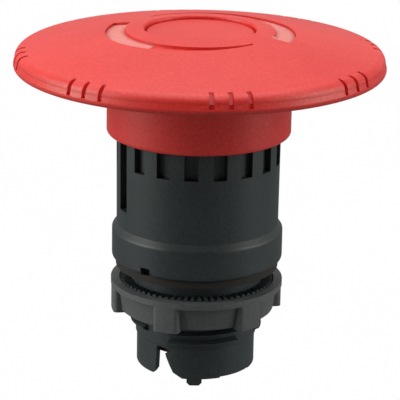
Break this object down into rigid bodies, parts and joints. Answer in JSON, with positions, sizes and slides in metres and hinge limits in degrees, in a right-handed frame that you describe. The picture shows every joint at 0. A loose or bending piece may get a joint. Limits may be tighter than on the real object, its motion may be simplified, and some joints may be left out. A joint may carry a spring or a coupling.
{
  "type": "emergency stop button",
  "caption": "Mushroom emergency stop operator head for a round panel hole: red palm disc that latches when pressed and turns to release, black sleeve, fixing nut and bayonet tail.",
  "frame": {"origin": "on the axis, at the underside of the panel gasket, which is the panel's front face", "axes": "+Z from the panel towards the palm disc, -Y to the front of the button, +X to its right"},
  "size_m": [0.06, 0.06, 0.0578],
  "materials": {
    "red_moulding": "semi-gloss moulded",
    "black_moulding": "fine texture",
    "ring_moulding": "fine texture",
    "seal_rubber": "matt",
    "guide_polymer": "smooth",
    "pusher_polymer": "smooth",
    "stem_metal": "turned",
    "screw_steel": "zinc plated",
    "spring_steel": "drawn wire"
  },
  "bodies": {
    "housing": {"upper_sleeve": "black_moulding", "panel_gasket": "seal_rubber", "threaded_body": "black_moulding", "stem_guide": "guide_polymer", "latch_holder": "guide_polymer", "latch_spring_right": "spring_steel", "latch_spring_left": "spring_steel", "wiper_seal": "seal_rubber", "seal_retainer": "black_moulding", "return_spring": "spring_steel"},
    "pusher": {"contact_pusher": "pusher_polymer", "spring_seat": "screw_steel"},
    "head": {"mushroom_head": "red_moulding", "centre_cap": "red_moulding", "head_screw": "screw_steel", "screw_washer": "screw_steel", "stem": "stem_metal", "stem_o_ring": "seal_rubber", "stem_circlip": "spring_steel"},
    "plunger_right": {"latch_plunger_right": "stem_metal"},
    "plunger_left": {"latch_plunger_left": "stem_metal"},
    "ring": {"toothed_ring": "ring_moulding"},
    "nut": {"fixing_nut": "black_moulding"}
  },
  "joints": [
    {"name": "press", "type": "slide", "parent": "housing", "child": "pusher", "axis": [0, 0, -1], "range_m": [0, 0.005], "stiffness_N_per_m": 900, "springref_m": -0.004, "deforming": ["return_spring"]},
    {"name": "release_turn", "type": "hinge", "parent": "pusher", "child": "head", "pos_m": [0, 0, 0], "axis": [0, 0, -1], "range_deg": [0, 45], "stiffness_Nm_per_rad": 0.03, "springref_deg": -17.19},
    {"name": "latch_right", "type": "slide", "parent": "housing", "child": "plunger_right", "axis": [1, 0, 0], "range_m": [0, 0.00115], "deforming": ["latch_spring_right"]},
    {"name": "latch_left", "type": "slide", "parent": "housing", "child": "plunger_left", "axis": [-1, 0, 0], "range_m": [0, 0.00115], "deforming": ["latch_spring_left"]},
    {"name": "ring_travel", "type": "slide", "parent": "housing", "child": "ring", "axis": [0, 0, -1], "range_m": [-0.001, 0.003]},
    {"name": "nut_turn", "type": "hinge", "parent": "ring", "child": "nut", "pos_m": [0, 0, 0], "axis": [0, 0, -1], "range_deg": [-240, 720]}
  ],
  "couplings": [
    {"joint": "latch_right", "follows": "press", "ratio": 0.22857},
    {"joint": "latch_left", "follows": "press", "ratio": 0.22857},
    {"joint": "ring_travel", "follows": "nut_turn", "m_per_rad": 0.00023873}
  ]
}
